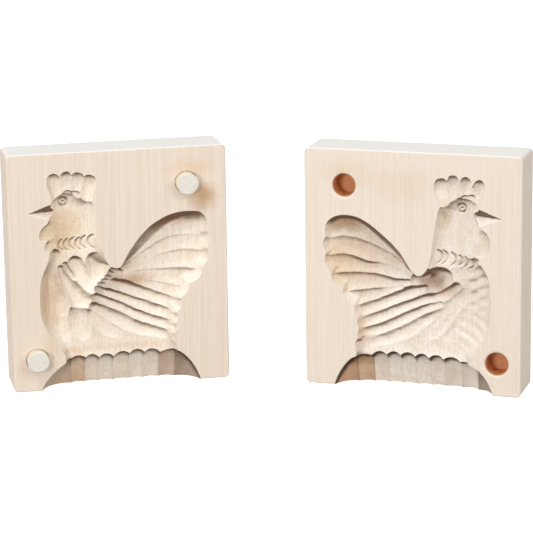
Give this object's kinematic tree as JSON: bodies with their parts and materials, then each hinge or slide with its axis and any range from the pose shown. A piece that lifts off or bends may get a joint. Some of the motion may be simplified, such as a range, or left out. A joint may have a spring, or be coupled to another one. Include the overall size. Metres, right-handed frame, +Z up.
{
  "type": "butter mould",
  "caption": "Wooden butter mould in two blocks that close on dowel pins; each is carved with one side of a hen on a fluted nest, open at the foot.",
  "frame": {"origin": "on the surface that the mould stands on, at the centre of its bounding box's footprint", "axes": "+Z up, +X along the row of the two open halves from the pin half to the socket half, -Y the way that the carved faces look"},
  "size_m": [0.2644, 0.0618, 0.121],
  "materials": {
    "pin_half_wood": "bare, sanded, carved",
    "socket_half_wood": "bare, sanded, carved",
    "dowel": "bare, sawn end grain"
  },
  "bodies": {
    "pin_half": {"pin_half": "pin_half_wood", "upper_pin": "dowel", "lower_pin": "dowel"},
    "socket_half": {"socket_half": "socket_half_wood"}
  },
  "joints": [
    {"name": "closing_turn", "type": "hinge", "parent": "pin_half", "child": "socket_half", "pos_m": [0.00129, 0.00727, 0.0605], "axis": [0, 0, -1], "range_deg": [0, 150]}
  ]
}
